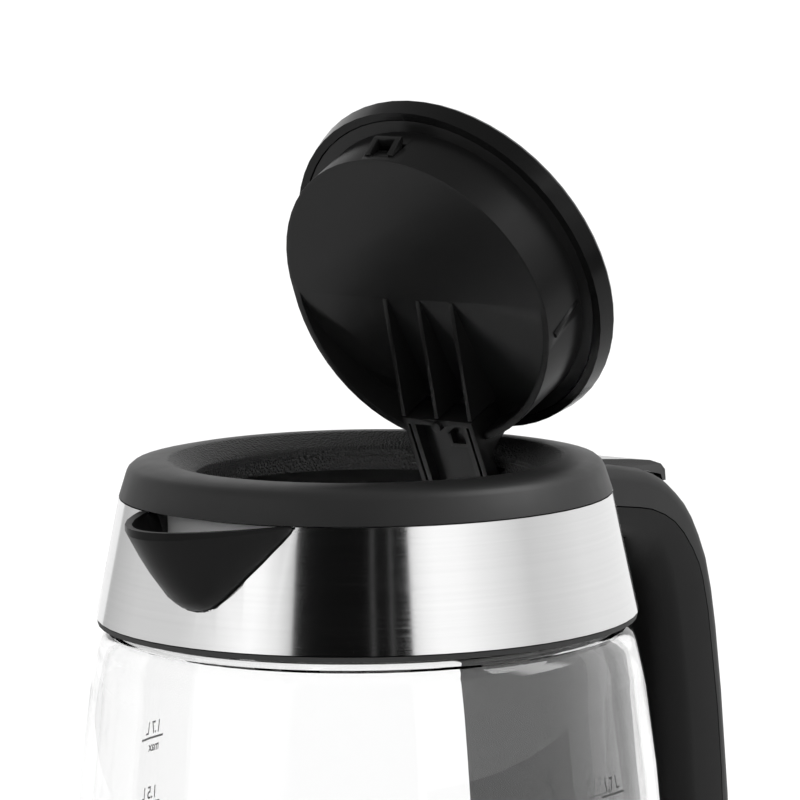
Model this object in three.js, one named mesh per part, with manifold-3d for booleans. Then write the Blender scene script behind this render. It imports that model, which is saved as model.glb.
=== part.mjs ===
// Electric kettle: a glass jug on a heating plate, with a steel shoulder band, a hinged lid and a D-shaped
// handle, standing on a separate power base. Millimetres, +Z up, spout towards -X, handle towards +X.
// The kettle's axis is the Z axis and z = 0 is the table. The lid is drawn closed and then turned open.
import * as THREE from "three";
import { mergeVertices } from "three/addons/utils/BufferGeometryUtils.js";
import Module from "manifold-3d";

const wasm = await Module();
wasm.setup();

// ---- Driving dimensions -------------------------------------------------------------------------------
const GAP = 0.3; // clearance between touching pieces
const RING_Z = 230; // underside of the collar ring
const LID_OPEN_DEG = 65; // the lid's opening angle
const HINGE = { x: 48.05, z: 2.64 }; // lid hinge, z from the ring's underside
const FLANGE_Z = 11.2; // the closed lid's widest circle, above the ring's underside
const PLATE_Z = -5.95; // the closed lid's lowest face in front
const BAND_TOP_R = 56.9;
const BAND_BOTTOM_R = 62.6;
const BAND_DEPTH = 27.8;
const BAND_WALL = 0.8;
const THROAT_R = 39.5;
const SKIRT_R = 36.9;
const ARM_HALF_Y = 10.2; // half-width of the lid's hinge arm
const HANDLE_HALF_Y = 16.7;
const LEVER_HALF_Y = 10;
const LEVER_PIVOT = { x: 68, z: -9.2 };
const SWITCH_PIVOT = { x: 79.5, z: 40 };
const BASE_R = 75;
const BASE_TOP = 18.3;
const ROUND = 40; // sides of a large turned piece
const ROUND_SEEN = 60; // sides of the large pieces that are seen closest
const ROUND_INNER = 24; // sides of a turned piece inside

// ---- Colours ------------------------------------------------------------------------------------------
const material = (color, roughness, metalness = 0, extra = {}) =>
  new THREE.MeshStandardMaterial({ color, roughness, metalness, ...extra });
const BLACK = material(0x191919, 0.55);
const GLOSS = material(0x141414, 0.25);
const GREY = material(0x9b9b9b, 0.5);
const RUBBER = material(0x222222, 0.9);
const SILICONE = material(0xd8d8d4, 0.7);
const STEEL = material(0xc9cbcd, 0.3, 1);
const ALUMINIUM = material(0xbfc1c4, 0.45, 1);
const BRASS = material(0xc8a24a, 0.35, 1);
const GLASS = material(0xe8f2f2, 0.05, 0, { transparent: true, opacity: 0.3 });
const LENS = material(0x5577cc, 0.15);

// ---- Solids -------------------------------------------------------------------------------------------
// A closed three.js geometry as a manifold-3d solid, facing out.
function solid(geometry) {
  const bare = geometry.index ? geometry.toNonIndexed() : geometry.clone();
  for (const name of Object.keys(bare.attributes)) if (name !== "position") bare.deleteAttribute(name);
  const merged = mergeVertices(bare, 1e-4);
  const points = merged.attributes.position.array;
  const build = (triVerts) => new wasm.Manifold(new wasm.Mesh({ numProp: 3, vertProperties: points, triVerts }));
  const faces = new Uint32Array(merged.index.array);
  const made = build(faces);
  return made.volume() > 0 ? made : build(faces.map((_, i) => faces[i - (i % 3) + (2 - (i % 3))]));
}

// Turns a closed [radius, z] outline about the Z axis.
function turned(outline, sides = ROUND) {
  const points = [...outline, outline[0]].map(([r, z]) => new THREE.Vector2(r, z));
  return solid(new THREE.LatheGeometry(points, sides).rotateX(Math.PI / 2));
}

// Extrudes an [x, z] outline along Y between two values.
function slab(outline, fromY, toY) {
  const shape = new THREE.Shape(outline.map(([x, z]) => new THREE.Vector2(x, z)));
  const made = new THREE.ExtrudeGeometry(shape, { depth: toY - fromY, bevelEnabled: false });
  return solid(made.rotateX(Math.PI / 2).translate(0, toY, 0));
}

// Extrudes an [x, y] outline upwards between two heights.
function prism(outline, fromZ, toZ) {
  const shape = new THREE.Shape(outline.map(([x, y]) => new THREE.Vector2(x, y)));
  const made = new THREE.ExtrudeGeometry(shape, { depth: toZ - fromZ, bevelEnabled: false });
  return solid(made.translate(0, 0, fromZ));
}

function block(x0, x1, y0, y1, z0, z1) {
  const made = new THREE.BoxGeometry(x1 - x0, y1 - y0, z1 - z0);
  return solid(made.translate((x0 + x1) / 2, (y0 + y1) / 2, (z0 + z1) / 2));
}

// A round bar between two points.
function rod(radius, from, to, sides = 14) {
  const a = new THREE.Vector3(...from);
  const b = new THREE.Vector3(...to);
  const along = b.clone().sub(a);
  const turn = new THREE.Quaternion().setFromUnitVectors(new THREE.Vector3(0, 1, 0), along.clone().normalize());
  const made = new THREE.CylinderGeometry(radius, radius, along.length(), sides);
  return solid(made.applyQuaternion(turn).translate(...a.add(b).multiplyScalar(0.5).toArray()));
}

// A bar along Y.
const barY = (radius, x, z, halfY, sides = 18) => rod(radius, [x, -halfY, z], [x, halfY, z], sides);

// A solid through a row of sections that all have the same number of points, capped at both ends.
function loft(sections) {
  const count = sections[0].length;
  const points = sections.flat(2);
  const faces = [];
  for (let s = 0; s + 1 < sections.length; s++)
    for (let i = 0; i < count; i++) {
      const next = (i + 1) % count;
      const a = s * count + i;
      const b = s * count + next;
      faces.push(a, b, b + count, a, b + count, a + count);
    }
  const last = (sections.length - 1) * count;
  for (let i = 1; i + 1 < count; i++) {
    faces.push(0, i + 1, i);
    faces.push(last, last + i, last + i + 1);
  }
  const geometry = new THREE.BufferGeometry();
  geometry.setAttribute("position", new THREE.Float32BufferAttribute(points, 3));
  geometry.setIndex(faces);
  return solid(geometry);
}

// A thin wall between two grids of points of the same size, closed along all four edges.
function wall(outer, inner) {
  const rows = outer.length;
  const columns = outer[0].length;
  const points = [...outer, ...inner].flat(2);
  const at = (side, r, c) => side * rows * columns + r * columns + c;
  const faces = [];
  const quad = (a, b, c, d) => faces.push(a, b, c, a, c, d);
  for (let r = 0; r + 1 < rows; r++)
    for (let c = 0; c + 1 < columns; c++) {
      quad(at(0, r, c), at(0, r, c + 1), at(0, r + 1, c + 1), at(0, r + 1, c));
      quad(at(1, r, c), at(1, r + 1, c), at(1, r + 1, c + 1), at(1, r, c + 1));
    }
  for (let c = 0; c + 1 < columns; c++) {
    quad(at(0, 0, c + 1), at(0, 0, c), at(1, 0, c), at(1, 0, c + 1));
    quad(at(0, rows - 1, c), at(0, rows - 1, c + 1), at(1, rows - 1, c + 1), at(1, rows - 1, c));
  }
  for (let r = 0; r + 1 < rows; r++) {
    quad(at(0, r, 0), at(0, r + 1, 0), at(1, r + 1, 0), at(1, r, 0));
    quad(at(0, r + 1, columns - 1), at(0, r, columns - 1), at(1, r, columns - 1), at(1, r + 1, columns - 1));
  }
  const geometry = new THREE.BufferGeometry();
  geometry.setAttribute("position", new THREE.Float32BufferAttribute(points, 3));
  geometry.setIndex(faces);
  return solid(geometry);
}

const joined = (...parts) => parts.reduce((sum, part) => sum.add(part));
const without = (whole, ...cuts) => cuts.reduce((rest, cut) => rest.subtract(cut), whole);

// Adds a finished solid to a group as a named mesh, its points counted from the group's own place.
function piece(group, name, made, look) {
  const { numProp, vertProperties, triVerts } = made.getMesh();
  const points = [];
  for (let i = 0; i < vertProperties.length; i += numProp)
    points.push(vertProperties[i], vertProperties[i + 1], vertProperties[i + 2]);
  const geometry = new THREE.BufferGeometry();
  geometry.setAttribute("position", new THREE.Float32BufferAttribute(points, 3));
  geometry.setIndex([...triVerts]);
  geometry.computeVertexNormals();
  const { x = 0, z = 0 } = group.userData.pivot ?? {};
  geometry.translate(-x, 0, -z);
  const mesh = new THREE.Mesh(geometry, look);
  mesh.name = name;
  group.add(mesh);
}

// A group whose meshes are drawn at rest and turned about a pivot.
function turningGroup(pivot, degrees = 0) {
  const group = new THREE.Group();
  group.userData.pivot = pivot;
  group.position.set(pivot.x, 0, pivot.z);
  group.rotation.y = THREE.MathUtils.degToRad(degrees);
  return group;
}

// A point on a circle about the Z axis.
const around = (radius, degrees) => {
  const angle = THREE.MathUtils.degToRad(degrees);
  return [radius * Math.cos(angle), radius * Math.sin(angle)];
};

const root = new THREE.Group();
const upper = new THREE.Group(); // everything whose height is counted from the ring's underside
upper.position.z = RING_Z;
root.add(upper);

// ---- Power base ---------------------------------------------------------------------------------------
const FEET_DEG = [45, 135, 225, 315];
const SCREWS_DEG = [0, 120, 240];
const FOOT_RING_R = 60;
const BASE_SCREW_R = 62;

function powerBase() {
  let plate = turned([[0, 0], [14, 0], [14, 1], [70.4, 1], [70.4, 4], [0, 4]]);
  let shell = turned([
    [70.8, 1.3], [73.6, 1.3], [BASE_R, 2.6], [BASE_R, 12.5], [73.6, 16.2], [70.8, BASE_TOP], [15, BASE_TOP],
    [15, 15.9], [70, 15.9], [71.8, 14.6], [72.7, 12], [72.7, 4.4], [70.8, 4.4],
  ]);
  FEET_DEG.forEach((degrees, i) => {
    const [x, y] = around(FOOT_RING_R, degrees);
    plate = without(plate, rod(6.3, [x, y, 0.5], [x, y, 2.4]));
    piece(root, `foot_${i + 1}`, rod(6, [x, y, 0], [x, y, 2.1]), RUBBER);
  });
  SCREWS_DEG.forEach((degrees, i) => {
    const [x, y] = around(BASE_SCREW_R, degrees);
    plate = without(plate, rod(1.8, [x, y, 0], [x, y, 5]), rod(3.3, [x, y, 0.5], [x, y, 2.6]));
    shell = without(joined(shell, rod(4, [x, y, 4.4], [x, y, 16.2])), rod(1.8, [x, y, 4], [x, y, 11]));
    const screw = joined(rod(3, [x, y, 1.3], [x, y, 2.3], 10), rod(1.5, [x, y, 2.2], [x, y, 10.5], 10));
    piece(root, `base_screw_${i + 1}`, screw, STEEL);
  });
  const cordHole = rod(4.6, [68, 0, 8.4], [80, 0, 8.4]);
  piece(root, "base_shell", without(shell, cordHole), BLACK);
  piece(root, "base_plate", plate, BLACK);
  const gland = joined(rod(4.3, [70.2, 0, 8.4], [79.5, 0, 8.4]), rod(5.8, [75.4, 0, 8.4], [77, 0, 8.4]));
  piece(root, "cord_gland", without(gland, rod(2.6, [69, 0, 8.4], [81, 0, 8.4], 10)), RUBBER);

  const connector = turned([
    [0, 4.3], [19, 4.3], [19, 6], [14.6, 6], [14.6, 26.2], [14, 27], [11.6, 27], [11.6, 9], [8.4, 9], [8.4, 27],
    [3, 27], [3, 12], [0, 12],
  ], ROUND_INNER);
  piece(root, "base_connector", connector, BLACK);
  piece(root, "contact_ring", turned([[9.4, 9.3], [10.4, 9.3], [10.4, 24], [9.4, 24]], ROUND_INNER), BRASS);
  piece(root, "contact_pin", rod(1.6, [0, 0, 12.3], [0, 0, 25], 10), BRASS);
}

// ---- Foot of the kettle -------------------------------------------------------------------------------
// The jug's outer outline from the shoulder down, heights counted from the table.
const GLASS_OUTLINE = [
  [56, 210], [56, 200.2], [57.2, 199.3], [59.9, 198.6], [61.4, 197.2], [62.3, 194.8], [64.3, 185.5],
  [66.7, 166.7], [69.4, 136], [71.1, 102], [71.5, 72], [69.4, 48], [67.3, 41.5],
];
const GLASS_INSIDE = [
  [53.2, 210], [53.2, 198.6], [57.6, 197], [59.4, 194.4], [61.5, 185.2], [66.5, 136], [68.6, 80], [66.7, 48],
  [64.5, 41.5],
];

// A filled body of the jug's outline and the band above it, grown by a margin, for fitting pieces to them.
function jugFilled(margin) {
  const side = GLASS_OUTLINE.filter(([, z]) => z < 199).map(([r, z]) => [r + margin, z]);
  const low = [67.3 + margin, 30];
  const bandBottom = [BAND_BOTTOM_R + margin, RING_Z - BAND_DEPTH - 1.4 - margin];
  const top = [[0, RING_Z + 9], [BAND_TOP_R + margin, RING_Z + 9], [BAND_TOP_R + margin, RING_Z]];
  return turned([...top, bandBottom, ...side, low, [0, 30]], ROUND_SEEN);
}

function kettleFoot() {
  const sealR = 61.9;
  piece(root, "heating_plate", turned([
    [0, 44.3], [60.2, 44.3], [60.2, 41.5], [61.6, 41.5], [61.6, 45.1], [61.2, 45.5], [0, 45.5],
  ]), STEEL);
  piece(root, "base_seal", turned([
    [sealR, 41.7], [64.1, 41.7], [65.1, 45.4], [sealR, 45.8],
  ]), SILICONE);
  piece(root, "diffuser_plate", turned([[0, 42.6], [50, 42.6], [50, 44], [0, 44]], ROUND_INNER), ALUMINIUM);
  const coil = solid(new THREE.TorusGeometry(38, 4, 8, 30).translate(0, 0, 38.2));
  const terminalGap = prism([[0, 0], around(60, -60), around(60, 0)], 30, 46);
  piece(root, "heating_element", without(coil, terminalGap), ALUMINIUM);

  let housing = turned([
    [70.2, 18.6], [71.4, 19.6], [71.9, 30], [71.9, 47.4], [71.2, 48.4], [69.9, 48.4], [67.8, 41.5], [67.6, 41.2],
    [60.8, 41.2], [60.8, 39.6], [69.6, 39.6], [69.6, 18.6],
  ]);
  const rearBlock = without(block(69.7, 84, -13, 13, 24, 53.7), jugFilled(0.4));
  const pocket = block(75.8, 86, -8.9, 8.9, 32, 50);
  const bore = barY(1.5, SWITCH_PIVOT.x, SWITCH_PIVOT.z, 14, 10);
  housing = without(joined(housing, rearBlock), pocket, bore);
  let cover = turned([[20, 18.6], [69.2, 18.6], [69.2, 21.6], [20, 21.6]]);
  SCREWS_DEG.forEach((degrees, i) => {
    const [x, y] = around(64.6, degrees + 60);
    housing = without(joined(housing, rod(3.6, [x, y, 21.9], [x, y, 40])), rod(1.5, [x, y, 21], [x, y, 33]));
    cover = without(cover, rod(1.5, [x, y, 18], [x, y, 22], 10), rod(3.1, [x, y, 18], [x, y, 20.4]));
    const screw = joined(rod(2.8, [x, y, 18.8], [x, y, 20.1], 10), rod(1.2, [x, y, 20], [x, y, 32], 10));
    piece(root, `foot_screw_${i + 1}`, screw, STEEL);
  });
  piece(root, "bottom_housing", housing, BLACK);
  piece(root, "bottom_cover", cover, BLACK);
  const trim = turned([[72.2, 24], [73, 24], [73, 45], [72.2, 45]]);
  piece(root, "steel_trim_ring", without(trim, block(60, 90, -13.3, 13.3, 20, 60)), STEEL);
  piece(root, "connector_socket", turned([
    [15.1, 18.6], [19.6, 18.6], [19.6, 21.4], [17, 21.4], [17, 30], [0, 30], [0, 28], [15.1, 28],
  ], ROUND_INNER), BLACK);
  piece(root, "thermostat", block(-14, 14, -11, 11, 30.3, 39.4), BLACK);
  piece(root, "bimetal_disc", turned([[0, 40], [9, 39.7], [9, 40.4], [0, 40.9]], 32), STEEL);
  piece(root, "indicator_lens", rod(1.6, [84.3, 0, 28], [85.4, 0, 28], 10), LENS);
  piece(root, "switch_pin", barY(1.2, SWITCH_PIVOT.x, SWITCH_PIVOT.z, 13, 10), STEEL);
}

function powerSwitch() {
  const group = turningGroup(SWITCH_PIVOT);
  root.add(group);
  const paddle = slab([
    [76.6, 38.2], [80, 36.8], [84, 38.6], [100.5, 44.2], [101, 46.6], [99.5, 47.2], [83, 42.8], [79.5, 43.4],
    [76.8, 42],
  ], -8.5, 8.5);
  piece(group, "power_switch", without(paddle, barY(1.5, SWITCH_PIVOT.x, SWITCH_PIVOT.z, 10, 10)), BLACK);
}

// ---- Jug, neck and shoulder band ----------------------------------------------------------------------
function jug() {
  piece(root, "glass_jug", turned([...GLASS_OUTLINE, ...GLASS_INSIDE.toReversed()], ROUND_SEEN), GLASS);
}

// The spout opening's half-width at each height below the ring.
const SPOUT_EDGE = [
  [21.4, 0], [20.9, -1.5], [19.3, -3.6], [15.4, -8.2], [11.2, -12.7], [7.4, -16.6], [4.6, -18.8], [2.2, -19.6],
  [0, -19.8],
];
const bandRadius = (z) => BAND_TOP_R - ((BAND_BOTTOM_R - BAND_TOP_R) * z) / BAND_DEPTH;

// A cutter of the spout opening's shape, grown by a margin.
function spoutCutter(margin) {
  const right = SPOUT_EDGE.map(([y, z]) => [y + margin, z - margin * 0.7]);
  const left = right.slice(0, -1).map(([y, z]) => [-y, z]).reverse();
  const outline = [[21.4 + margin, 1], ...right, ...left, [-21.4 - margin, 1]];
  const shape = new THREE.Shape(outline.map(([y, z]) => new THREE.Vector2(y, z)));
  const made = new THREE.ExtrudeGeometry(shape, { depth: 40, bevelEnabled: false });
  return solid(made.rotateX(Math.PI / 2).rotateZ(-Math.PI / 2).translate(-42, 0, 0));
}

function shoulder() {
  const band = turned([
    [BAND_TOP_R, -GAP], [BAND_BOTTOM_R, -BAND_DEPTH], [BAND_BOTTOM_R - BAND_WALL, -BAND_DEPTH],
    [BAND_TOP_R - BAND_WALL, -GAP],
  ], ROUND_SEEN);
  piece(upper, "steel_band", without(band, spoutCutter(0.3)), STEEL);
  piece(upper, "neck_gasket", turned([
    [58.8, -29.2], [62.3, -29.2], [62.4, -28.1], [58.8, -28.1],
  ], ROUND_SEEN), RUBBER);
  piece(upper, "neck_seal", turned([[53.2, -19.7], [56, -19.7], [56, -18], [53.2, -18]], ROUND_INNER), SILICONE);
  const collar = turned([
    [56.4, -28.4], [58.2, -28.4], [58.2, -15], [55.4, -0.6], [53.8, -0.6], [53.8, -17.6], [56.4, -17.6],
  ]);
  piece(upper, "inner_collar", without(collar, spoutCutter(1.2)), BLACK);
}

// ---- Collar ring with the lid's hinge bosses ----------------------------------------------------------
function collarRing() {
  let ring = turned([
    [BAND_TOP_R, 0], [55.2, 5.3], [54.6, 6.4], [53.6, 7.2], [50, 7.9], [46.2, 8.2], [45.2, 8], [40.2, 5.1],
    [THROAT_R, 4.4], [THROAT_R, 3.3], [39.9, 3], [39.9, -0.5], [41.6, -0.5], [41.6, 3.9], [45.8, 6.1],
    [52.4, 5.4], [54.8, 0],
  ], ROUND_SEEN);
  for (const side of [-1, 1]) {
    const near = side > 0 ? 11.4 : -14.2;
    ring = joined(ring, block(44.5, 51.2, near, near + 2.8, -0.2, 6.4));
  }
  const KNUCKLE_ROOM = 4; // radius kept clear about the hinge
  const notch = [[38, -2], [38, 1.6], [39.45, 1.8], [41.75, 2.7]];
  for (let degrees = 165; degrees >= 0; degrees -= 15) {
    const [x, z] = around(KNUCKLE_ROOM, degrees);
    notch.push([HINGE.x + x, HINGE.z + z]);
  }
  notch.push([HINGE.x + KNUCKLE_ROOM, -2]);
  ring = without(ring, slab(notch, -11.4, 11.4), barY(1.8, HINGE.x, HINGE.z, 16));
  piece(upper, "collar_ring", ring, BLACK);
  piece(upper, "hinge_pin", barY(1.5, HINGE.x, HINGE.z, 14.1), STEEL);
}

function hingeSpring() {
  const TURNS = 4;
  const STEPS = TURNS * 9;
  const HALF_LENGTH = 3.6;
  const points = [];
  for (let i = 0; i <= STEPS; i++) {
    const [x, z] = around(2.55, 40 * i);
    const y = HALF_LENGTH * ((2 * i) / STEPS - 1);
    points.push(new THREE.Vector3(HINGE.x + x, y, HINGE.z + z));
  }
  const wire = new THREE.Shape();
  wire.absarc(0, 0, 0.45, 0, 2 * Math.PI);
  const route = new THREE.CatmullRomCurve3(points);
  const options = { extrudePath: route, steps: STEPS, curveSegments: 5, bevelEnabled: false };
  piece(upper, "hinge_spring", solid(new THREE.ExtrudeGeometry(wire, options)), STEEL);
}

// ---- Spout insert and filter --------------------------------------------------------------------------
// The beak is a V-shaped trough. Columns run round the V from lip to lip and rows from the band out to the lip.
function spoutInsert() {
  const LIP = { rootX: -54, reach: 23.5, halfY: 22 };
  const WALL = 1.4;
  const columns = [...SPOUT_EDGE.map(([y, z]) => [-y, z]), ...SPOUT_EDGE.slice(0, -1).toReversed()];
  const FLANGE = 2.6; // how far the insert reaches in behind the band
  const skin = (inset) => {
    const rows = [[], [], [], [], [], [], [], []];
    for (const [edgeY, edgeZ] of columns) {
      const share = edgeY / SPOUT_EDGE[0][0];
      const narrow = 1 - inset / 20;
      const y = edgeY * narrow;
      const z = Math.min(edgeZ + inset * 1.15, -0.7);
      const rootX = -Math.sqrt(bandRadius(z) ** 2 - y ** 2) - 0.1;
      const lipX = LIP.rootX - LIP.reach * (1 - share ** 2) + inset;
      const lipY = LIP.halfY * share * narrow;
      const rim = 0.3 + 1.5 * (1 - share ** 2);
      const control = { x: rootX + (lipX - rootX) * 0.34, z: z + (0 - z) * 0.04 };
      rows[0].push([rootX + FLANGE, y, z]);
      [0, 0.15, 0.35, 0.6, 0.8, 1].forEach((t, i) => {
        const [a, b, c] = [(1 - t) ** 2, 2 * t * (1 - t), t ** 2];
        const alongX = a * rootX + b * control.x + c * lipX;
        const alongZ = a * z + b * control.z + c * Math.max(z, -rim);
        rows[i + 1].push([alongX, y + (lipY - y) * t, alongZ]);
      });
      rows[7].push([lipX, lipY, 0]);
    }
    return rows;
  };
  piece(upper, "spout_insert", wall(skin(0), skin(WALL)), BLACK);
}

function filter() {
  const frame = turned([[50.8, -25], [52.4, -25], [52.4, -1], [50.8, -1]]);
  const sector = prism([[0, 0], [-60, -22], [-60, 22]], -30, 2);
  const window = prism([[0, 0], [-60, -7], [-60, 7]], -22.5, -3.4);
  piece(upper, "filter_frame", without(frame.intersect(sector), window), GREY);
}

// ---- Lid, drawn closed about the kettle's axis --------------------------------------------------------
const lid = turningGroup(HINGE, LID_OPEN_DEG);
upper.add(lid);
const PLATE_RISE = 0.17; // how the plate's rear half climbs, per millimetre
const SKIRT_FALL = 0.1; // how the skirt's rear edge drops, per millimetre
const FIN_FALL = 0.2; // how the fins' free edge drops, per millimetre
const FIN_END = 29;

function lidCover() {
  piece(lid, "lid_cover", turned([
    [0, 15.4], [20, 15], [35, 13.7], [41, 12.8], [42.7, 12.1], [43.2, FLANGE_Z], [42.3, 6.9], [40.4, 6.9],
    [40.7, 10.4], [26, 12.8], [0, 13.6],
  ], ROUND_SEEN), BLACK);
}

function lidUnderside() {
  const skirt = turned([
    [SKIRT_R, -9.6], [SKIRT_R + 0.3, 7.1], [40.1, 7.1], [40.1, 9], [35.6, 9], [35.2, -9.6],
  ], ROUND_SEEN);
  const edgeCut = slab([
    [-50, -20], [-50, PLATE_Z], [0, PLATE_Z], [50, PLATE_Z - 50 * SKIRT_FALL], [50, -20],
  ], -60, 60);
  const disc = turned([[0, -12], [36.2, -12], [36.2, 12], [0, 12]]);
  const rise = (x) => PLATE_Z + Math.max(x, 0) * PLATE_RISE;
  const plate = slab([
    [-50, PLATE_Z], [0, PLATE_Z], [50, rise(50)], [50, rise(50) + 1.8], [0, PLATE_Z + 1.8], [-50, PLATE_Z + 1.8],
  ], -60, 60).intersect(disc);
  const windowY = ARM_HALF_Y + GAP;
  const armWindow = joined(block(34.2, 45, -windowY, windowY, -14, 3), block(31, 40, -windowY, windowY, -14, -0.95));
  let body = joined(without(skirt, edgeCut), plate);
  body = without(body, armWindow);
  const fin = [
    [0.5, PLATE_Z + 0.5], [0.5, PLATE_Z - 0.1], [FIN_END, PLATE_Z - FIN_FALL * FIN_END],
    [FIN_END, rise(FIN_END) + 0.6],
  ];
  for (const y of [-9.75, 0, 9.75]) body = body.add(slab(fin, y - 0.55, y + 0.55));
  const ribTop = around(SKIRT_R - 0.2, -82);
  const rib = rod(0.9, [ribTop[0], ribTop[1], 5.6], [ribTop[0] + 3, ribTop[1] + 0.3, -4.6], 8);
  const catchHole = block(-39, -33, -4.2, 4.2, -4, 1.9);
  piece(lid, "lid_underside", without(joined(body, rib), catchHole), BLACK);
}

function hingeArm() {
  const LOW = PLATE_Z - FIN_FALL * FIN_END - 0.2; // free face of the arm's rails
  const START = FIN_END + GAP;
  const strutIn = HINGE.x - 2;
  const strutOut = HINGE.x + 2;
  const rail = [
    [START, LOW], [strutOut - 2, LOW], [strutOut, LOW + 2], [strutOut, HINGE.z], [strutIn, HINGE.z],
    [strutIn, LOW + 4], [40.5, LOW + 4], [39.5, -6.5], [38.6, -4.7], [37.6, 0.1], [37.4, 2.6], [34.6, 2.6],
    [34.5, -1.3], [START, -1.7],
  ];
  const panel = [
    [START, LOW + 2.6], [strutOut - 0.8, LOW + 2.6], [strutOut - 0.8, -2.2], [strutIn + 0.4, -2.2],
    [strutIn + 0.4, LOW + 3.9], [START, LOW + 3.9],
  ];
  const RAIL_WIDTH = 1.3;
  const INNER_RAIL_Y = 6.9;
  const sides = [-ARM_HALF_Y, ARM_HALF_Y - RAIL_WIDTH].map((near) => slab(rail, near, near + RAIL_WIDTH));
  const innerRails = [-INNER_RAIL_Y - RAIL_WIDTH, INNER_RAIL_Y].map((near) =>
    block(START, strutOut - 0.9, near, near + RAIL_WIDTH, LOW, LOW + 3));
  const crossbar = block(START, START + 1.6, -ARM_HALF_Y, ARM_HALF_Y, LOW, -4);
  const boss = rod(1.35, [START + 1.45, 0, LOW - 1], [START + 1.45, 0, LOW + 2], 12);
  const hook = joined(
    block(START + 6.6, START + 7.5, -INNER_RAIL_Y - 0.4, -1.4, LOW + 0.8, LOW + 3),
    block(START + 4, START + 7.5, -2.3, -1.4, LOW + 0.8, LOW + 3));
  const knuckles = [-1, 1].map((side) => {
    const [from, to] = side > 0 ? [4.6, ARM_HALF_Y] : [-ARM_HALF_Y, -4.6];
    return rod(3.4, [HINGE.x, from, HINGE.z], [HINGE.x, to, HINGE.z], 32);
  });
  const cheeks = [-1, 1].map((side) => {
    const near = side > 0 ? 4.6 : -ARM_HALF_Y;
    return block(strutIn, strutOut, near, near + ARM_HALF_Y - 4.6, -6, HINGE.z);
  });
  const frame = joined(...sides, ...innerRails, slab(panel, -9.5, 9.5), crossbar, boss, hook);
  const whole = joined(frame, ...knuckles, ...cheeks);
  piece(lid, "hinge_arm", without(whole, barY(1.8, HINGE.x, HINGE.z, 12)), BLACK);
}

function lidCatch() {
  const whole = slab([
    [-35.4, -3.7], [-37.4, -3.7], [-39.1, 0.6], [-39.1, 1.6], [-38.1, 1.6], [-35.4, -1.4],
  ], -3.9, 3.9);
  piece(lid, "lid_catch", without(whole, block(-40, -36.4, -2.5, 2.5, -5, 0.4)), BLACK);
}

// ---- Handle -------------------------------------------------------------------------------------------
// Stations along the handle: the outermost point and the innermost point of each section, as [x, z].
const HANDLE_STATIONS = [
  [[56, -1], [56, -19.8]], [[70, -1], [70, -19.8]], [[79, -2], [79, -19.8]], [[84, -2.9], [82.6, -21.4]],
  [[90, -4], [85.9, -24.9]], [[95, -5.7], [88.2, -27]], [[99.5, -7.8], [90.2, -29.2]],
  [[103.3, -10.5], [92, -32]], [[107, -13.6], [93.2, -35.2]], [[110.2, -17.3], [94.4, -38.4]],
  [[113.3, -22.2], [95.4, -43]], [[116, -27.5], [96.2, -48]], [[118.4, -35.4], [97, -54]],
  [[120.4, -45], [97.8, -61]], [[123, -62], [98.9, -73]], [[126, -89.8], [100.3, -95]],
  [[126.6, -112], [100.1, -112]],
  [[124.4, -135], [97.8, -127]], [[120.3, -148], [95, -134.5]], [[113.5, -159], [92, -139.5]],
  [[104.5, -167], [88.8, -143.2]], [[94, -172.4], [85.6, -145.8]], [[82.3, -175], [82.3, -147.3]],
];
const HANDLE_SEAM = [
  [76, -30], [76, -11.4], [85.9, -12.9], [90.9, -13.9], [96.4, -15.9], [100.7, -18.2], [104.5, -21.4],
  [108.3, -25.8], [111, -29.9], [112.7, -34], [114.8, -42], [116.1, -49.9], [118.9, -67.8], [120.5, -84],
  [121.2, -100], [120.8, -120], [118.8, -134], [114.6, -146],
  [107, -156.5], [98, -163], [88, -167], [78, -168.5],
];

// One section of the handle: rounded towards the hand's palm and more so towards the fingers.
function handleSection([outer, inner], inset) {
  const from = new THREE.Vector2(...outer);
  const to = new THREE.Vector2(...inner);
  const depth = from.distanceTo(to);
  const across = to.clone().sub(from).normalize();
  const half = HANDLE_HALF_Y - inset;
  const backRound = 4;
  const sideRound = 4.5;
  const fingerRound = THREE.MathUtils.clamp(depth - 14, 1.5, 9.5);
  const curve = [];
  for (let i = 0; i <= 4; i++) {
    const angle = (Math.PI / 2) * (i / 4);
    curve.push([backRound * (1 - Math.sin(angle)), half - sideRound * (1 - Math.cos(angle))]);
  }
  curve.reverse();
  for (let i = 0; i <= 5; i++) {
    const angle = (Math.PI / 2) * (i / 5);
    const reach = Math.min(fingerRound * 1.25, half - 2.5);
    curve.push([depth - fingerRound * (1 - Math.sin(angle)), half - reach * (1 - Math.cos(angle))]);
  }
  const shrink = (s) => inset + (s / depth) * (depth - 2 * inset);
  const place = ([s, y]) => [from.x + across.x * shrink(s), y, from.y + across.y * shrink(s)];
  const mirrored = curve.map(([s, y]) => [s, -y]).reverse();
  return [...curve, ...mirrored].map(place);
}

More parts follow.
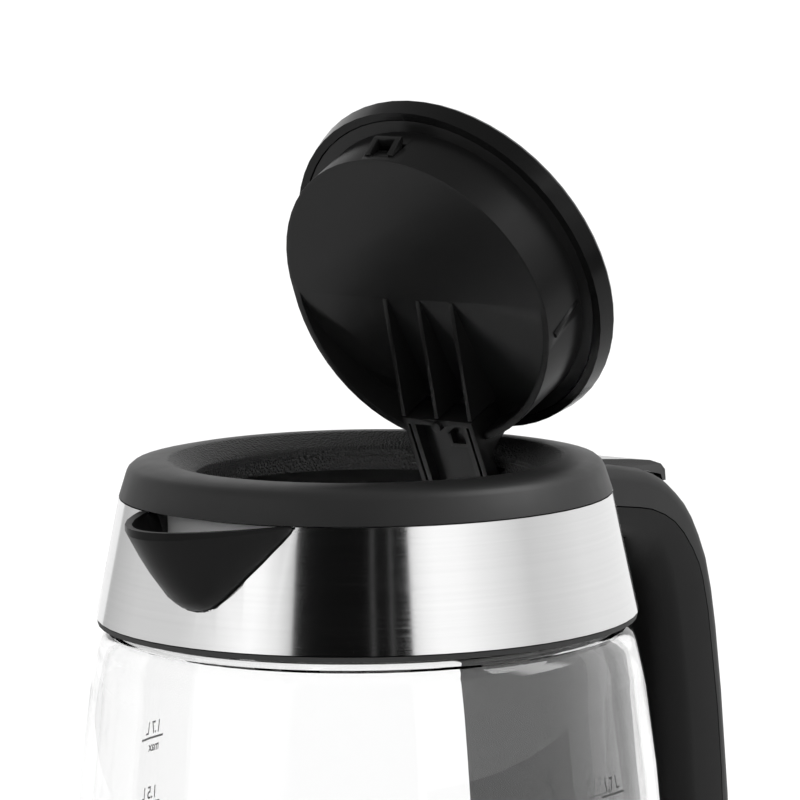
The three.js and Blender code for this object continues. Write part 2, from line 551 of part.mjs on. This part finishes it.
function handle() {
  const full = loft(HANDLE_STATIONS.map((station) => handleSection(station, 0)));
  const hollow = loft(HANDLE_STATIONS.slice(-12, -2).map((station) => handleSection(station, 2.8)));
  const backRegion = slab([[40, 6], [40, -30], ...HANDLE_SEAM, [78, -200], [150, -200], [150, 6]], -20, 20);
  const shifts = [[-GAP, 0], [0, -GAP], [0, GAP], [-0.21, -0.21], [-0.21, 0.21]];
  const backGrown = joined(backRegion, ...shifts.map(([x, z]) => backRegion.translate([x, 0, z])));
  const leverRoom = slab([
    [50, 6], [50, -13.2], [73.4, -13.2], [74, -7.9], [86.9, -8.2], [97.4, -10.2], [103, -12.6], [103.4, -14.6],
    [109, -14.6], [109, 6],
  ], -LEVER_HALF_Y - 0.6, LEVER_HALF_Y + 0.6);
  const leverBore = barY(1.5, LEVER_PIVOT.x, LEVER_PIVOT.z, 13.4, 10);
  const fitted = without(full, jugFilled(0.4).translate([0, 0, -RING_Z]));
  let back = without(fitted.intersect(backRegion), leverRoom, leverBore, hollow);
  const spineRoom = block(60, 82.3, -20, 20, -60, -19.9);
  let front = without(fitted, backGrown, hollow, spineRoom);
  const SCREW_SPOTS = [[99.6, -82, 116], [99.9, -116, 116]];
  SCREW_SPOTS.forEach(([x, z, seat], i) => {
    const well = rod(3.3, [x - 4, 0, z], [x + 4.4, 0, z]);
    const hole = rod(1.6, [x - 4, 0, z], [seat + 1.6, 0, z], 10);
    const post = rod(4.6, [x + 1.6, 0, z], [seat - 6, 0, z]);
    const boss = rod(3.6, [seat - 5.7, 0, z], [seat + 8, 0, z]);
    front = without(joined(front, post), well, hole);
    back = without(joined(back, boss.intersect(full)), hole);
    const screw = joined(rod(3, [x + 1.4, 0, z], [x + 4.1, 0, z], 10), rod(1.3, [x + 4, 0, z], [seat + 1, 0, z], 10));
    piece(upper, `handle_screw_${i + 1}`, screw, STEEL);
  });
  piece(upper, "handle_outer", back, BLACK);
  piece(upper, "handle_inner", front, BLACK);
  piece(upper, "lever_pin", barY(1.2, LEVER_PIVOT.x, LEVER_PIVOT.z, 13.1, 10), STEEL);
}

function spineAndSteamTube() {
  const TOP = -20.2;
  const BOTTOM = -176;
  const plan = [[50, -20], [73, -20], [76, -18.6], [82, -14], [82, 14], [76, 18.6], [73, 20], [50, 20]];
  const hollowPlan = [[50, -17], [72, -17], [74.6, -15.9], [79.8, -12], [79.8, 12], [74.6, 15.9], [72, 17], [50, 17]];
  const ribs = [-60, -120].map((z) => block(50, 90, -18, 18, z, z + 2));
  const hollow = without(prism(hollowPlan, BOTTOM - 1, TOP + 1), jugFilled(2.6).translate([0, 0, -RING_Z]), ...ribs);
  const tubeBore = rod(3.3, [76.4, 0, -180], [76.4, 0, -10]);
  const outside = without(prism(plan, BOTTOM, TOP), jugFilled(0.35).translate([0, 0, -RING_Z]));
  piece(upper, "rear_spine", without(outside, hollow, tubeBore), BLACK);
  const tube = without(rod(2.9, [76.4, 0, -175.6], [76.4, 0, -20.6]), rod(2, [76.4, 0, -180], [76.4, 0, -10], 10));
  piece(upper, "steam_tube", tube, SILICONE);
}

function releaseLever() {
  const group = turningGroup(LEVER_PIVOT);
  upper.add(group);
  const lever = slab([
    [58.6, -0.4], [70, -0.5], [79.4, -0.9], [91.1, -2.2], [99.6, -3.4], [104.2, -4.8], [106, -6.4],
    [106.3, -9.1], [105, -9.1], [104.2, -7.4], [97.4, -5.7], [86.9, -4.2], [72, -3], [71.4, -9.6], [70, -11.4],
    [67, -11.6], [65, -10], [64.6, -2.8], [58.6, -2.2],
  ], -LEVER_HALF_Y, LEVER_HALF_Y);
  piece(group, "release_lever", without(lever, barY(1.5, LEVER_PIVOT.x, LEVER_PIVOT.z, 12, 10)), GLOSS);
}

powerBase();
kettleFoot();
powerSwitch();
jug();
shoulder();
collarRing();
hingeSpring();
spoutInsert();
filter();
lidCover();
lidUnderside();
hingeArm();
lidCatch();
handle();
spineAndSteamTube();
releaseLever();

export default root;
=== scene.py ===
"""The electric kettle: looks for its CAD pieces, the volume marks, the filter's woven mesh and the studio."""
import math
import bpy
from mathutils import Matrix, Vector


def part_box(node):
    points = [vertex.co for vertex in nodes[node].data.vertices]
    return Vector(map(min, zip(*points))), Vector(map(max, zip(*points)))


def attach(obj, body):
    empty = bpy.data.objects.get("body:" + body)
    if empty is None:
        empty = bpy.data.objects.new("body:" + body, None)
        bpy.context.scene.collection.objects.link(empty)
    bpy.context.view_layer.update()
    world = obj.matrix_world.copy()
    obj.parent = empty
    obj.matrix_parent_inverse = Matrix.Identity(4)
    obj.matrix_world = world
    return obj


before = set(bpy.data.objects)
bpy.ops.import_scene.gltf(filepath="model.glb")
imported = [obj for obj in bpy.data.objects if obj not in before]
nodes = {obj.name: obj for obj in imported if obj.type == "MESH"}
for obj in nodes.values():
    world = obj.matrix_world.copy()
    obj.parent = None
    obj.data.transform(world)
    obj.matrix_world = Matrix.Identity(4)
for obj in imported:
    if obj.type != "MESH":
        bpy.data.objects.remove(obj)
scene = bpy.context.scene
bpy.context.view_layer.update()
MM = 0.001

RING_GAP = 0.3 * MM  # between the steel band and the collar ring
RING_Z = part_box("steel_band")[1].z + RING_GAP  # the collar ring's underside
CREST_R = 45.8 * MM  # the collar ring's crest; its pebbled slope lies inside this radius
SPLIT_POINTS = 0.004 * MM  # points closer than this are one point that the CAD file holds twice


# ---- Materials --------------------------------------------------------------------------------------------
class Look:
    """A material whose nodes are made one by one and wired by name."""

    def __init__(self, name, color=(0.5, 0.5, 0.5), **values):
        self.material = bpy.data.materials.new(name)
        self.material.use_nodes = True
        self.tree = self.material.node_tree
        self.tree.nodes.clear()
        output = self.tree.nodes.new("ShaderNodeOutputMaterial")
        self.shader = self.add("ShaderNodeBsdfPrincipled")
        self.wire(self.shader.outputs[0], output.inputs["Surface"])
        self.shader.inputs["Base Color"].default_value = (*color, 1)
        for socket, value in values.items():
            self.shader.inputs[socket.replace("_", " ")].default_value = value
        self.place = self.add("ShaderNodeTexCoord").outputs["Object"]

    def add(self, kind, **settings):
        """A new node; each setting is one of its inputs or one of its properties."""
        node = self.tree.nodes.new(kind)
        for key, value in settings.items():
            if key in node.inputs:
                node.inputs[key].default_value = value
            else:
                setattr(node, key, value)
        return node

    def wire(self, start, end):
        self.tree.links.new(start, end)

    def noise(self, scale, detail=2.0, rough=0.5, stretch=(1, 1, 1)):
        """Noise over the kettle's own frame, in features per metre, times stretch along each axis."""
        squeeze = self.add("ShaderNodeMapping", Scale=stretch)
        self.wire(self.place, squeeze.inputs["Vector"])
        noise = self.add("ShaderNodeTexNoise", Scale=scale, Detail=detail, Roughness=rough)
        self.wire(squeeze.outputs[0], noise.inputs["Vector"])
        return noise.outputs["Fac"]

    def span(self, value, low, high, start=0.0, end=1.0):
        """value mapped from start..end to low..high."""
        node = self.add("ShaderNodeMapRange")
        for socket, number in (("From Min", start), ("From Max", end), ("To Min", low), ("To Max", high)):
            node.inputs[socket].default_value = number
        self.wire(value, node.inputs["Value"])
        return node.outputs["Result"]

    def combine(self, a, b, operation="ADD"):
        """Two values put together; b may be a plain number."""
        node = self.add("ShaderNodeMath", operation=operation)
        self.wire(a, node.inputs[0])
        if isinstance(b, (int, float)):
            node.inputs[1].default_value = b
        else:
            self.wire(b, node.inputs[1])
        return node.outputs[0]

    def tint(self, value, dark, light):
        """The base colour runs between two greys or colours as value goes from 0 to 1."""
        mix = self.add("ShaderNodeMix", data_type="RGBA")
        mix.inputs["A"].default_value = (*dark, 1)
        mix.inputs["B"].default_value = (*light, 1)
        self.wire(value, mix.inputs["Factor"])
        self.wire(mix.outputs["Result"], self.shader.inputs["Base Color"])

    def bump(self, height, depth, strength=1.0):
        """Adds height times depth, in metres, to the surface's shading."""
        node = self.add("ShaderNodeBump", Strength=strength, Distance=depth)
        self.wire(height, node.inputs["Height"])
        before = self.shader.inputs["Normal"].links
        if before:
            self.wire(before[0].from_socket, node.inputs["Normal"])
        self.wire(node.outputs[0], self.shader.inputs["Normal"])


def moulded(name, grey, rough, grain=0.02, specular=0.5):
    """Moulded plastic: a fine eroded grain, slightly uneven gloss and a faint change of tone."""
    look = Look(name, Specular_IOR_Level=specular)
    tone = look.noise(35, 3)
    look.tint(tone, (grey * 0.85,) * 3, (grey * 1.15,) * 3)
    look.wire(look.span(look.noise(160, 3), rough - 0.05, rough + 0.05), look.shader.inputs["Roughness"])
    look.bump(look.noise(2600, 2, 0.6), grain * MM)
    return look


def collar_look():
    """The collar ring: satin plastic, with a finely pebbled slope inside its crest."""
    look = moulded("ring_plastic", 0.011, 0.46, 0.010, 0.36)
    split = look.add("ShaderNodeSeparateXYZ")
    look.wire(look.place, split.inputs[0])
    squares = [look.combine(split.outputs[i], split.outputs[i], "MULTIPLY") for i in (0, 1)]
    radius = look.combine(look.combine(*squares), 0.5, "POWER")
    slope = look.span(radius, 1, 0, CREST_R - 0.6 * MM, CREST_R + 0.4 * MM)
    look.wire(look.span(slope, 0.36, 0.5), look.shader.inputs["Specular IOR Level"])
    pebble = look.add("ShaderNodeTexVoronoi", Scale=1700.0)
    look.wire(look.place, pebble.inputs["Vector"])
    look.bump(look.combine(pebble.outputs["Distance"], slope, "MULTIPLY"), 0.34 * MM)
    return look


def brushed(name, grey, rough, around=True, fine=9000):
    """Brushed steel: fine lines with broader ones among them, round the upright axis or along a flat face."""
    look = Look(name, (grey,) * 3, Metallic=1.0, Roughness=rough, Anisotropic=0.55 if around else 0.0)
    stretch = (0.004, 0.004, 1) if around else (1, 0.01, 1)
    lines = look.noise(fine, 3, 0.6, stretch)
    coarse = look.noise(fine / 7, 2, 0.5, stretch)
    look.tint(look.span(look.combine(lines, coarse), 0, 1, 0.6, 1.4), (grey * 0.97,) * 3, (grey * 1.02,) * 3)
    look.wire(look.span(lines, rough - 0.04, rough + 0.05, 0.3, 0.7), look.shader.inputs["Roughness"])
    look.bump(lines, 0.0012 * MM, 0.3)
    if around:
        tangent = look.add("ShaderNodeTangent", direction_type="RADIAL", axis="Z")
        look.wire(tangent.outputs[0], look.shader.inputs["Tangent"])
    return look


def glass_look():
    """Clear glass, with the very slight unevenness of a blown wall."""
    look = Look("jug_glass", (0.955, 0.955, 0.955), Transmission_Weight=1.0, IOR=1.45)
    look.wire(look.span(look.noise(60, 2), 0.0, 0.015), look.shader.inputs["Roughness"])
    look.bump(look.noise(28, 2, 0.4, (1, 1, 0.35)), 0.05 * MM, 0.3)
    return look


def soft(name, color, rough):
    """Rubber or silicone: matt, with a faint bloom."""
    look = Look(name, color)
    look.tint(look.noise(90, 3), tuple(c * 0.85 for c in color), tuple(min(c * 1.12, 1) for c in color))
    look.wire(look.span(look.noise(300, 3), rough - 0.06, rough + 0.06), look.shader.inputs["Roughness"])
    look.bump(look.noise(1800, 2), 0.02 * MM)
    return look


def metal(name, color, rough):
    """Plain metal with small scuffs."""
    look = Look(name, color, Metallic=1.0)
    look.tint(look.noise(120, 4), tuple(c * 0.86 for c in color), color)
    look.wire(look.span(look.noise(700, 4, 0.7), rough - 0.08, rough + 0.1), look.shader.inputs["Roughness"])
    look.bump(look.noise(1400, 3), 0.008 * MM)
    return look


# For the moulded plastics: the grey, the roughness, the grain's depth in mm and the specular level.
LOOKS = {
    "satin": moulded("satin_black_plastic", 0.006, 0.36, 0.010, 0.2),
    "handle": moulded("handle_black_plastic", 0.009, 0.46, 0.016, 0.3),
    # Painted shade: the handle's inner piece gets a darker grey and a lower specular level than the outer
    # piece, standing in for the shade on the handle's inner face.
    "painted_shade_grip": moulded("inner_handle_plastic_painted_shade", 0.006, 0.42, 0.016, 0.12),
    "beak": moulded("spout_black_plastic", 0.006, 0.4, 0.012, 0.09),
    "lid": moulded("lid_black_plastic", 0.006, 0.3, 0.006, 0.17),
    "cover": moulded("cover_black_plastic", 0.004, 0.2, 0.005, 0.13),
    "arm": moulded("arm_black_plastic", 0.005, 0.3, 0.008, 0.22),
    "gloss": moulded("lever_gloss_plastic", 0.008, 0.14, 0.003, 0.5),
    "grey": moulded("filter_pale_plastic", 0.85, 0.5, 0.012),
    "spine": moulded("spine_plastic", 0.014, 0.5, 0.006, 0.12),
    "ring": collar_look(),
    "band": brushed("brushed_steel_band", 0.84, 0.085),
    "trim": brushed("brushed_steel_trim", 0.7, 0.28),
    "plate": brushed("brushed_steel_plate", 0.66, 0.32, around=False, fine=3000),
    "steel": metal("screw_steel", (0.6, 0.6, 0.61), 0.32),
    "aluminium": metal("cast_aluminium", (0.7, 0.7, 0.71), 0.48),
    "brass": metal("contact_brass", (0.78, 0.56, 0.24), 0.3),
    "glass": glass_look(),
    "lens": Look("indicator_lens", (0.25, 0.35, 0.8), Transmission_Weight=0.7, Roughness=0.1),
    "rubber": soft("black_rubber", (0.018, 0.018, 0.018), 0.75),
    "silicone": soft("clear_silicone", (0.72, 0.72, 0.7), 0.5),
}
LOOKS["lens"].bump(LOOKS["lens"].noise(900, 2), 0.02 * MM)

# The CAD nodes that wear each look. All others are bare steel: screws, pins, a spring, the bimetal disc.
NODE_LOOKS = {
    "ring": ["collar_ring"],
    "band": ["steel_band"],
    "trim": ["steel_trim_ring"],
    "plate": ["heating_plate"],
    "glass": ["glass_jug"],
    "lid": ["lid_underside"],
    "cover": ["lid_cover"],
    "arm": ["hinge_arm", "lid_catch"],
    "gloss": ["release_lever"],
    "grey": ["filter_frame"],
    "beak": ["spout_insert"],
    "handle": ["handle_outer"],
    # handle_inner wears the painted-shade copy of the handle plastic.
    "painted_shade_grip": ["handle_inner"],
    "spine": ["rear_spine"],
    "satin": [
        "base_shell", "base_plate", "base_connector", "inner_collar", "bottom_housing", "bottom_cover",
        "connector_socket", "thermostat", "power_switch",
    ],
    "rubber": ["foot_1", "foot_2", "foot_3", "foot_4", "cord_gland", "neck_gasket"],
    "silicone": ["neck_seal", "base_seal", "steam_tube"],
    "aluminium": ["heating_element", "diffuser_plate"],
    "brass": ["contact_ring", "contact_pin"],
    "lens": ["indicator_lens"],
}

# How far the sharp edges of some nodes are rounded, in mm.
ROUNDED_EDGES = {
    "lid_underside": 0.4, "hinge_arm": 0.2, "release_lever": 0.5, "lid_catch": 0.15, "power_switch": 0.5,
}


# ---- CAD nodes: shading and rounded edges -----------------------------------------------------------------
def smoothing_tree():
    """Geometry nodes that join split points and shade smooth across all edges up to a given angle."""
    tree = bpy.data.node_groups.new("smooth_round_faces", "GeometryNodeTree")
    tree.interface.new_socket("Geometry", in_out="INPUT", socket_type="NodeSocketGeometry")
    tree.interface.new_socket("Angle", in_out="INPUT", socket_type="NodeSocketFloat")
    tree.interface.new_socket("Geometry", in_out="OUTPUT", socket_type="NodeSocketGeometry")
    add, link = tree.nodes.new, tree.links.new
    start, end = add("NodeGroupInput"), add("NodeGroupOutput")
    merge = add("GeometryNodeMergeByDistance")
    merge.inputs["Distance"].default_value = SPLIT_POINTS
    forget = add("GeometryNodeRemoveAttribute")
    forget.inputs["Name"].default_value = "custom_normal"
    faces, edges = add("GeometryNodeSetShadeSmooth"), add("GeometryNodeSetShadeSmooth")
    faces.domain, edges.domain = "FACE", "EDGE"
    faces.inputs["Shade Smooth"].default_value = True
    edges.inputs["Shade Smooth"].default_value = False
    angle, sharp = add("GeometryNodeInputMeshEdgeAngle"), add("FunctionNodeCompare")
    sharp.data_type, sharp.operation = "FLOAT", "GREATER_THAN"
    link(start.outputs["Geometry"], forget.inputs["Geometry"])
    link(forget.outputs["Geometry"], merge.inputs["Geometry"])
    link(merge.outputs["Geometry"], faces.inputs["Geometry"])
    link(faces.outputs["Geometry"], edges.inputs["Geometry"])
    link(angle.outputs["Unsigned Angle"], sharp.inputs[0])
    link(start.outputs["Angle"], sharp.inputs[1])
    link(sharp.outputs[0], edges.inputs["Selection"])
    link(edges.outputs["Geometry"], end.inputs["Geometry"])
    return tree


SMOOTHING = smoothing_tree()


def smooth(obj, degrees=28):
    """Round faces look round; edges that turn more than so many degrees stay sharp."""
    modifier = obj.modifiers.new("smooth", "NODES")
    modifier.node_group = SMOOTHING
    modifier["Socket_1"] = math.radians(degrees)  # the tree's Angle


def soften_edges(obj, width, segments=2):
    """Rounds the sharp edges of a CAD node a little, inside its own outline."""
    weld = obj.modifiers.new("join", "WELD")
    weld.merge_threshold = SPLIT_POINTS
    bevel = obj.modifiers.new("round_edges", "BEVEL")
    bevel.width = width
    bevel.segments = segments
    bevel.limit_method = "ANGLE"
    bevel.angle_limit = math.radians(40)
    bevel.use_clamp_overlap = True


def dress_nodes():
    """Every CAD node gets its look and its shading."""
    dressed = {name: look for look, names in NODE_LOOKS.items() for name in names}
    for name, obj in nodes.items():
        look = LOOKS[dressed.get(name, "steel")]
        obj.data.materials.clear()
        obj.data.materials.append(look.material)
        if name in ROUNDED_EDGES:
            soften_edges(obj, ROUNDED_EDGES[name] * MM)
        smooth(obj)


def link_object(name, data):
    """A new object with this data, in the scene."""
    obj = bpy.data.objects.new(name, data)
    scene.collection.objects.link(obj)
    return obj


# ---- The print on the jug ---------------------------------------------------------------------------------
NECK_R = 56.5 * MM  # points of the jug inside this radius belong to its neck, not its wall


def jug_profile():
    """(height, radius) pairs: the outermost point of the jug's wall at each height that has points.

    A few heights have points on the inner face alone, so the profile dips into the glass there.
    """
    rings = {}
    for vertex in nodes["glass_jug"].data.vertices:
        height = round(vertex.co.z, 4)
        rings[height] = max(rings.get(height, 0), math.hypot(vertex.co.x, vertex.co.y))
    return sorted((height, radius) for height, radius in rings.items() if radius > NECK_R)


JUG_PROFILE = jug_profile()


def jug_radius(z):
    """The jug's radius at a height, between the pairs of its profile."""
    for (low, start), (high, end) in zip(JUG_PROFILE, JUG_PROFILE[1:]):
        if low <= z <= high:
            return start + (end - start) * (z - low) / (high - low)
    raise ValueError(f"the jug has no outline at {z}")


INK = Look("printed_ink", (0.03, 0.03, 0.03), Roughness=0.6)
INK.tint(INK.noise(900, 3), (0.02, 0.02, 0.02), (0.06, 0.06, 0.06))
INK.bump(INK.noise(4000, 2), 0.004 * MM)
PRINT_LIFT = 0.05 * MM  # from the profile out to the middle of the print's depth
PRINT_DEPTH = 0.03 * MM
PRINT_TURN = math.radians(3.5)  # the jug stands turned a little in its band
LETTER_SQUEEZE = 0.74  # the letters' width against the typeface's own
LETTER_WEIGHT = 0.05 * MM  # how far the strokes' edges are moved outwards

# Each mark's volume in litres and its height below the collar ring in mm.
MARKS = [(1.7, 64.0), (1.5, 79.2), (1.2, 100.6), (1.0, 114.8), (0.7, 135.8), (0.5, 149.8)]
LINE_LEFT = -4.6 * MM
LINE_RIGHT = 4.4 * MM
LINE_THICK = 0.5 * MM
LINE_STEPS = 8
NUMBER_SIZE = 4.1 * MM
NUMBER_LEFT = -3.3 * MM
NUMBER_RISE = 1.0 * MM  # from a mark's line up to its number's foot
WORD_SIZE = 3.2 * MM
WORD_DROP = 3.1 * MM  # from a mark's line down to the foot of the word under it
# Each word under a mark, its left edge and the mark's height below the collar ring in mm.
WORDS = [("max", -3.1 * MM, MARKS[0][1]), ("min", -2.9 * MM, MARKS[-1][1])]


def wrap_on_jug(mesh, z, side):
    """Bends a flat print in the XY plane round the jug at height z. A side of 1 is at +Y, and -1 at -Y."""
    for vertex in mesh.vertices:
        along, up, out = vertex.co
        radius = jug_radius(z + up) + PRINT_LIFT + out
        angle = side * math.pi / 2 + PRINT_TURN + along / radius
        vertex.co = (radius * math.cos(angle), radius * math.sin(angle), z + up)


def printed_text(words, size, left, z, side):
    """Narrow flat text on the jug: its left edge at left, its foot at height z."""
    curve = bpy.data.curves.new("words", "FONT")
    curve.body = words
    curve.size = size
    curve.extrude = PRINT_DEPTH / 2
    curve.offset = LETTER_WEIGHT
    curve.resolution_u = 3
    maker = link_object("words", curve)
    bpy.context.view_layer.update()
    mesh = bpy.data.meshes.new_from_object(maker.evaluated_get(bpy.context.evaluated_depsgraph_get()))
    bpy.data.objects.remove(maker)
    mesh.transform(Matrix.Translation((left, 0, 0)) @ Matrix.Diagonal((LETTER_SQUEEZE, 1, 1, 1)))
    wrap_on_jug(mesh, z, side)
    return mesh


def printed_line(z, side):
    """A mark's flat bar on the jug, its middle at height z."""
    corners = ((-0.5, -0.5), (0.5, -0.5), (0.5, 0.5), (-0.5, 0.5))
    verts, faces = [], []
    for i in range(LINE_STEPS + 1):
        x = LINE_LEFT + (LINE_RIGHT - LINE_LEFT) * i / LINE_STEPS
        verts += [(x, up * LINE_THICK, out * PRINT_DEPTH) for up, out in corners]
    for i in range(LINE_STEPS):
        for j in range(4):
            a, b = i * 4 + j, i * 4 + (j + 1) % 4
            faces.append((a, b, b + 4, a + 4))
    last = LINE_STEPS * 4
    faces += [(3, 2, 1, 0), (last, last + 1, last + 2, last + 3)]
    mesh = bpy.data.meshes.new("line")
    mesh.from_pydata(verts, [], faces)
    wrap_on_jug(mesh, z, side)
    return mesh


def join_meshes(name, meshes):
    """One mesh of several, each kept as a separate shell."""
    verts, faces = [], []
    for mesh in meshes:
        start = len(verts)
        verts += [tuple(v.co) for v in mesh.vertices]
        faces += [tuple(start + i for i in polygon.vertices) for polygon in mesh.polygons]
    joined = bpy.data.meshes.new(name)
    joined.from_pydata(verts, [], faces)
    joined.validate()
    return joined


def volume_scale(side):
    """The printed volume marks of one side, as one piece."""
    parts = []
    for litres, below in MARKS:
        z = RING_Z - below * MM
        parts.append(printed_line(z, side))
        parts.append(printed_text(f"{litres:.1f} L", NUMBER_SIZE, NUMBER_LEFT, z + NUMBER_RISE, side))
    for word, left, below in WORDS:
        parts.append(printed_text(word, WORD_SIZE, left, RING_Z - below * MM - WORD_DROP, side))
    obj = link_object("volume_marks_" + ("left" if side > 0 else "right"), join_meshes("marks", parts))
    obj.data.materials.append(INK.material)
    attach(obj, "kettle")


# ---- The spout filter's mesh ------------------------------------------------------------------------------
MESH_INSET = 0.8 * MM  # from the frame's outer face in to the upright wires
MESH_HALF_WIDTH = 7.2 * MM
MESH_MARGIN = 2 * MM  # from the frame's lower and upper edge to the wires' ends
MESH_PITCH = 0.9 * MM
WIRE_R = 0.13 * MM
WIRE_CROSSING = 0.12 * MM  # how far the level wires stand off the upright ones
ARC_STEPS = 6


def filter_mesh():
    """The spout filter's woven mesh, a grid of fine wires across the frame's window."""
    low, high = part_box("filter_frame")
    radius = -low.x - MESH_INSET
    half = MESH_HALF_WIDTH
    bottom, top = low.z + MESH_MARGIN, high.z - MESH_MARGIN
    wires = []
    count = round(2 * half / MESH_PITCH)
    for i in range(count + 1):
        y = -half + 2 * half * i / count
        x = -math.sqrt(radius**2 - y**2)
        wires.append([(x, y, bottom), (x, y, top)])
    arc = [-half + 2 * half * i / ARC_STEPS for i in range(ARC_STEPS + 1)]
    count = round((top - bottom) / MESH_PITCH)
    for i in range(count + 1):
        z = bottom + (top - bottom) * i / count
        wires.append([(-math.sqrt(radius**2 - y**2) - WIRE_CROSSING, y, z) for y in arc])
    curve = bpy.data.curves.new("filter_mesh", "CURVE")
    curve.dimensions = "3D"
    curve.bevel_depth = WIRE_R
    curve.bevel_resolution = 1
    for wire in wires:
        spline = curve.splines.new("POLY")
        spline.points.add(len(wire) - 1)
        for point, place in zip(spline.points, wire):
            point.co = (*place, 1)
    obj = link_object("filter_mesh", curve)
    obj.data.materials.append(LOOKS["steel"].material)
    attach(obj, "kettle")


# ---- Camera and studio ------------------------------------------------------------------------------------
CAMERA_PLACE = Vector((-860.7, -684.9, 384.7)) * MM
CAMERA_AIM = Vector((0.78131, 0.61236, -0.12073))
CAMERA_ROLL = math.radians(-0.69)
CAMERA_SENSOR = 36  # width in mm
CAMERA_LENS = 216.83  # focal length in mm


def camera():
    """The camera, turned along its aim and then rolled a little."""
    data = bpy.data.cameras.new("camera")
    data.lens = CAMERA_LENS
    data.sensor_width = CAMERA_SENSOR
    obj = link_object("camera", data)
    turn = CAMERA_AIM.to_track_quat("-Z", "Y").to_matrix().to_4x4()
    obj.matrix_world = Matrix.Translation(CAMERA_PLACE) @ turn @ Matrix.Rotation(CAMERA_ROLL, 4, "Z")
    scene.camera = obj


WORLD_STRENGTH = 1.18
FLOOR_HALF = 60.0
WALL_TOP = 1.3  # the reflected walls' upper edge, in metres like all the cards' sizes
CARD_STEP = 6  # degrees between the upright edges of a bent card's faces
LAMP_STRENGTH = 7
GAP_START = -31.5  # the dark gap between the walls, in degrees from the camera's side
GAP_END = 18.5
# How bright the walls are, as (angle from the camera's side, strength).
LEFT_TONES = [
    (-180, 1.0), (-148, 0.94), (-147, 0.5), (-116, 0.7), (-86, 0.72), (-71, 0.85), (-50, 1.18), (-38, 0.95),
    (GAP_START, 0.65),
]
RIGHT_TONES = [
    (GAP_END, 0.85), (24, 1.05), (30, 1.15), (41, 1.12), (54, 0.95), (76, 0.68), (92, 0.75), (110, 0.86),
    (180, 1.0),
]


def backdrop(name, verts, faces, tones):
    """A glowing surface that only reflections see; tones holds each vertex's strength."""
    mesh = bpy.data.meshes.new(name)
    mesh.from_pydata(verts, [], faces)
    mesh.attributes.new("tone", "FLOAT", "POINT").data.foreach_set("value", tones)
    material = bpy.data.materials.new(name)
    material.use_nodes = True
    tree = material.node_tree
    tree.nodes.clear()
    tone = tree.nodes.new("ShaderNodeAttribute")
    tone.attribute_name = "tone"
    glow = tree.nodes.new("ShaderNodeEmission")
    output = tree.nodes.new("ShaderNodeOutputMaterial")
    tree.links.new(tone.outputs["Fac"], glow.inputs["Strength"])
    tree.links.new(glow.outputs[0], output.inputs["Surface"])
    mesh.materials.append(material)
    obj = link_object(name, mesh)
    obj.visible_camera = False
    obj.visible_transmission = False
    obj.visible_diffuse = False
    obj.visible_shadow = False


def card(name, tones, low=-0.6, high=WALL_TOP, radius=1.6):
    """An upright card bent round the kettle. Each tone is an angle from the camera's side and a strength."""
    toward_camera = math.atan2(CAMERA_PLACE.y, CAMERA_PLACE.x)
    stops = []
    for (start, dim), (end, bright) in zip(tones, tones[1:]):
        steps = max(1, round(abs(end - start) / CARD_STEP))
        for i in range(steps):
            stops.append((start + (end - start) * i / steps, dim + (bright - dim) * i / steps))
    stops.append(tones[-1])
    verts, strengths = [], []
    for degrees, strength in stops:
        angle = toward_camera + math.radians(degrees)
        verts += [(radius * math.cos(angle), radius * math.sin(angle), z) for z in (low, high)]
        strengths += [strength, strength]
    faces = [(2 * i, 2 * i + 2, 2 * i + 3, 2 * i + 1) for i in range(len(stops) - 1)]
    backdrop(name, verts, faces, strengths)


def ceiling_card(name, centre, half, strength):
    """A level square card above the kettle; half is half its side."""
    x, y, z = centre
    corners = ((-half, -half), (half, -half), (half, half), (-half, half))
    verts = [(x + along, y + across, z) for along, across in corners]
    backdrop(name, verts, [(0, 1, 2, 3)], [strength] * 4)


def white_world():
    """Even white light from all round."""
    world = bpy.data.worlds.new("studio")
    scene.world = world
    world.use_nodes = True
    background = world.node_tree.nodes["Background"]
    background.inputs["Color"].default_value = (1, 1, 1, 1)
    background.inputs["Strength"].default_value = WORLD_STRENGTH
    scene.view_settings.view_transform = "Standard"


def paper_floor():
    """A plain pale floor that runs far beyond the picture."""
    mesh = bpy.data.meshes.new("floor")
    corners = [(-1, -1), (1, -1), (1, 1), (-1, 1)]
    mesh.from_pydata([(x * FLOOR_HALF, y * FLOOR_HALF, 0) for x, y in corners], [], [(0, 1, 2, 3)])
    floor = link_object("floor", mesh)
    paper = bpy.data.materials.new("white_paper")
    paper.use_nodes = True
    shader = paper.node_tree.nodes["Principled BSDF"]
    shader.inputs["Base Color"].default_value = (0.93, 0.93, 0.93, 1)
    shader.inputs["Roughness"].default_value = 0.9
    mesh.materials.append(paper)


def reflected_room():
    """The walls, strips and lamps that give the steel and the gloss their tones."""
    card("left_wall", LEFT_TONES)
    card("dark_gap", [(GAP_START, 0.004), (GAP_END, 0.004)])
    card("right_wall", RIGHT_TONES)
    for start in (1.5, 9.5):
        card("thin_strip", [(start, 0.06), (start + 2, 0.06)], radius=1.5)
    card("table_edge", [(22, 0.1), (86, 0.1)], high=0.24, radius=1.5)
    ceiling_card("dim_ceiling", (0, 0, WALL_TOP), 1.7, 0.42)
    ceiling_card("ceiling_lamp", (0.6, -0.95, 1.28), 0.36, LAMP_STRENGTH)
    lamp_tones = [(68, 0.8), (78, LAMP_STRENGTH), (92, LAMP_STRENGTH), (102, 0.9)]
    card("side_lamp", lamp_tones, low=0.82, high=1.27, radius=1.45)


dress_nodes()
volume_scale(1)
volume_scale(-1)
filter_mesh()
camera()
white_world()
paper_floor()
reflected_room()
